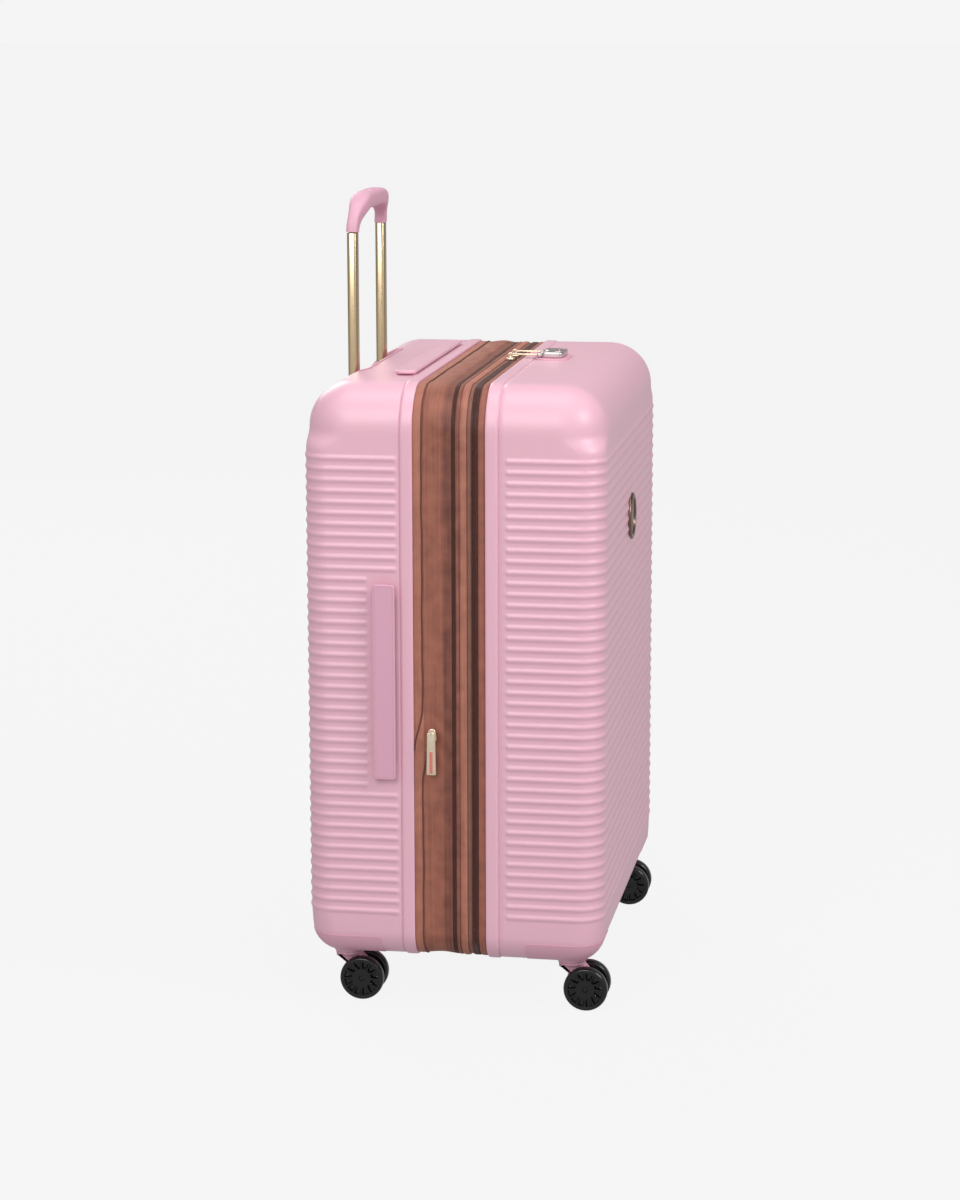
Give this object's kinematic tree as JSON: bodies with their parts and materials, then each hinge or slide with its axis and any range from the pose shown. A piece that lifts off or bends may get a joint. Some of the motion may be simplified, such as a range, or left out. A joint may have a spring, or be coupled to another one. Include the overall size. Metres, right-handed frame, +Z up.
{
  "type": "expandable spinner suitcase",
  "caption": "Upright hard-shell case in two ribbed halves with a cloth gusset, zips and lock, telescopic trolley handle, carry handles and swivelling twin-wheel casters.",
  "frame": {"origin": "on the floor, under the middle of the case", "axes": "+Z up, -Y to the front where the lid opens, +Y to the trolley side, -X to the side with the carry handle, +X to the hinge side"},
  "size_m": [0.509, 0.3375, 0.9015],
  "materials": {
    "pink_shell": "moulded, satin gloss",
    "pink_trim": "moulded, satin",
    "pink_handle": "soft-touch, satin",
    "copper_cloth": "fine woven polyester",
    "copper_zip": "coil zip on cloth tape",
    "gold_tube": "polished, anodised pale gold",
    "gold_zip_pull": "polished pale gold",
    "chrome_trim": "polished",
    "black_wheel": "gloss hub with a satin rubber tread",
    "channel_alloy": "drawn",
    "grey_plastic": "moulded",
    "steel": "turned"
  },
  "bodies": {
    "back_case": {"back_shell": "pink_shell", "back_gusset_strip": "copper_cloth", "expansion_panel": "copper_cloth", "trolley_well": "pink_trim", "trolley_channel_left": "channel_alloy", "trolley_channel_right": "channel_alloy", "channel_foot": "grey_plastic", "trolley_cover": "grey_plastic", "caster_housing_back_left": "pink_trim", "caster_housing_back_right": "pink_trim"},
    "zip_frame": {"expander_zip": "copper_zip", "zip_frame_strip": "copper_cloth", "main_zip_back": "copper_zip", "hinge_tape": "copper_cloth"},
    "lid": {"front_shell": "pink_shell", "front_gusset_strip": "copper_cloth", "main_zip_front": "copper_zip", "caster_housing_front_left": "pink_trim", "caster_housing_front_right": "pink_trim", "lock_base": "pink_trim", "lock_body": "chrome_trim", "front_badge": "chrome_trim"},
    "trolley_middle": {"middle_tube_left": "gold_tube", "middle_tube_right": "gold_tube"},
    "trolley_top": {"inner_tube_left": "gold_tube", "inner_tube_right": "gold_tube", "trolley_grip": "pink_trim"},
    "release_button": {"grip_button": "pink_trim"},
    "side_carry": {"side_handle": "pink_handle", "side_handle_stop_a": "steel", "side_handle_stop_b": "steel"},
    "top_carry": {"top_handle": "pink_handle", "top_handle_stop_a": "steel", "top_handle_stop_b": "steel"},
    "slider_1": {"main_slider_1": "gold_zip_pull"},
    "slider_2": {"main_slider_2": "gold_zip_pull"},
    "tab_1": {"main_pull_tab_1": "gold_zip_pull"},
    "tab_2": {"main_pull_tab_2": "gold_zip_pull"},
    "slider_expander": {"expander_slider": "gold_zip_pull"},
    "tab_expander": {"expander_pull_tab": "gold_zip_pull"},
    "lock_release": {"lock_button": "chrome_trim"},
    "dial_1": {"lock_dial_1": "chrome_trim"},
    "dial_2": {"lock_dial_2": "chrome_trim"},
    "dial_3": {"lock_dial_3": "chrome_trim"},
    "fork_back_left": {"caster_fork_back_left": "pink_trim", "caster_axle_back_left": "steel"},
    "spin_back_left_left": {"wheel_back_left_left": "black_wheel"},
    "spin_back_left_right": {"wheel_back_left_right": "black_wheel"},
    "fork_back_right": {"caster_fork_back_right": "pink_trim", "caster_axle_back_right": "steel"},
    "spin_back_right_left": {"wheel_back_right_left": "black_wheel"},
    "spin_back_right_right": {"wheel_back_right_right": "black_wheel"},
    "fork_front_left": {"caster_fork_front_left": "pink_trim", "caster_axle_front_left": "steel"},
    "spin_front_left_left": {"wheel_front_left_left": "black_wheel"},
    "spin_front_left_right": {"wheel_front_left_right": "black_wheel"},
    "fork_front_right": {"caster_fork_front_right": "pink_trim", "caster_axle_front_right": "steel"},
    "spin_front_right_left": {"wheel_front_right_left": "black_wheel"},
    "spin_front_right_right": {"wheel_front_right_right": "black_wheel"}
  },
  "joints": [
    {"name": "expansion", "type": "slide", "parent": "back_case", "child": "zip_frame", "axis": [0, 1, 0], "range_m": [0, 0.0322], "deforming": ["expansion_panel"]},
    {"name": "lid_hinge", "type": "hinge", "parent": "zip_frame", "child": "lid", "pos_m": [0.253, -0.02285, 0.385], "axis": [0, 0, 1], "range_deg": [0, 180], "deforming": ["hinge_tape"]},
    {"name": "trolley_stage_1", "type": "slide", "parent": "back_case", "child": "trolley_middle", "axis": [0, 0, 1], "range_m": [0, 0.2]},
    {"name": "trolley_stage_2", "type": "slide", "parent": "trolley_middle", "child": "trolley_top", "axis": [0, 0, 1], "range_m": [-0.19, 0]},
    {"name": "grip_button_press", "type": "slide", "parent": "trolley_top", "child": "release_button", "axis": [0, 0, -1], "range_m": [0, 0.003], "stiffness_N_per_m": 400, "springref_m": -0.003},
    {"name": "side_handle_lift", "type": "slide", "parent": "back_case", "child": "side_carry", "axis": [-1, 0, 0], "range_m": [0, 0.01]},
    {"name": "top_handle_lift", "type": "slide", "parent": "back_case", "child": "top_carry", "axis": [0, 0, 1], "range_m": [0, 0.01]},
    {"name": "swivel_back_left", "type": "hinge", "parent": "back_case", "child": "fork_back_left", "pos_m": [-0.205, 0.128, 0.0532], "axis": [0, 0, 1], "continuous": true},
    {"name": "roll_back_left_left", "type": "hinge", "parent": "fork_back_left", "child": "spin_back_left_left", "pos_m": [-0.219, 0.1105, 0.025], "axis": [1, 0, 0], "continuous": true},
    {"name": "roll_back_left_right", "type": "hinge", "parent": "fork_back_left", "child": "spin_back_left_right", "pos_m": [-0.191, 0.1105, 0.025], "axis": [1, 0, 0], "continuous": true},
    {"name": "swivel_back_right", "type": "hinge", "parent": "back_case", "child": "fork_back_right", "pos_m": [0.205, 0.128, 0.0532], "axis": [0, 0, 1], "continuous": true},
    {"name": "roll_back_right_left", "type": "hinge", "parent": "fork_back_right", "child": "spin_back_right_left", "pos_m": [0.191, 0.1105, 0.025], "axis": [1, 0, 0], "continuous": true},
    {"name": "roll_back_right_right", "type": "hinge", "parent": "fork_back_right", "child": "spin_back_right_right", "pos_m": [0.219, 0.1105, 0.025], "axis": [1, 0, 0], "continuous": true},
    {"name": "swivel_front_left", "type": "hinge", "parent": "lid", "child": "fork_front_left", "pos_m": [-0.205, -0.128, 0.0532], "axis": [0, 0, 1], "continuous": true},
    {"name": "roll_front_left_left", "type": "hinge", "parent": "fork_front_left", "child": "spin_front_left_left", "pos_m": [-0.219, -0.1455, 0.025], "axis": [1, 0, 0], "continuous": true},
    {"name": "roll_front_left_right", "type": "hinge", "parent": "fork_front_left", "child": "spin_front_left_right", "pos_m": [-0.191, -0.1455, 0.025], "axis": [1, 0, 0], "continuous": true},
    {"name": "swivel_front_right", "type": "hinge", "parent": "lid", "child": "fork_front_right", "pos_m": [0.205, -0.128, 0.0532], "axis": [0, 0, 1], "continuous": true},
    {"name": "roll_front_right_left", "type": "hinge", "parent": "fork_front_right", "child": "spin_front_right_left", "pos_m": [0.191, -0.1455, 0.025], "axis": [1, 0, 0], "continuous": true},
    {"name": "roll_front_right_right", "type": "hinge", "parent": "fork_front_right", "child": "spin_front_right_right", "pos_m": [0.219, -0.1455, 0.025], "axis": [1, 0, 0], "continuous": true},
    {"name": "slider_1_run", "type": "slide", "parent": "zip_frame", "child": "slider_1", "axis": [-1, 0, 0], "range_m": [0, 0.2]},
    {"name": "slider_2_run", "type": "slide", "parent": "zip_frame", "child": "slider_2", "axis": [1, 0, 0], "range_m": [0, 0.14]},
    {"name": "tab_1_flip", "type": "hinge", "parent": "slider_1", "child": "tab_1", "pos_m": [0.019, -0.02285, 0.7103], "axis": [-1, 0, 0], "range_deg": [0, 150]},
    {"name": "tab_2_flip", "type": "hinge", "parent": "slider_2", "child": "tab_2", "pos_m": [0.051, -0.02285, 0.7103], "axis": [-1, 0, 0], "range_deg": [0, 150]},
    {"name": "expander_slider_run", "type": "slide", "parent": "back_case", "child": "slider_expander", "axis": [0, 0, 1], "range_m": [-0.14, 0.28]},
    {"name": "expander_tab_swing", "type": "hinge", "parent": "slider_expander", "child": "tab_expander", "pos_m": [-0.2553, 0.0227, 0.3213], "axis": [0, 1, 0], "range_deg": [0, 150]},
    {"name": "dial_1_turn", "type": "hinge", "parent": "lid", "child": "dial_1", "pos_m": [0.028, -0.07775, 0.7108], "axis": [1, 0, 0], "continuous": true},
    {"name": "dial_2_turn", "type": "hinge", "parent": "lid", "child": "dial_2", "pos_m": [0.035, -0.07775, 0.7108], "axis": [1, 0, 0], "continuous": true},
    {"name": "dial_3_turn", "type": "hinge", "parent": "lid", "child": "dial_3", "pos_m": [0.042, -0.07775, 0.7108], "axis": [1, 0, 0], "continuous": true},
    {"name": "lock_button_press", "type": "slide", "parent": "lid", "child": "lock_release", "axis": [0, 0, -1], "range_m": [0, 0.0015], "stiffness_N_per_m": 300, "springref_m": -0.003}
  ]
}
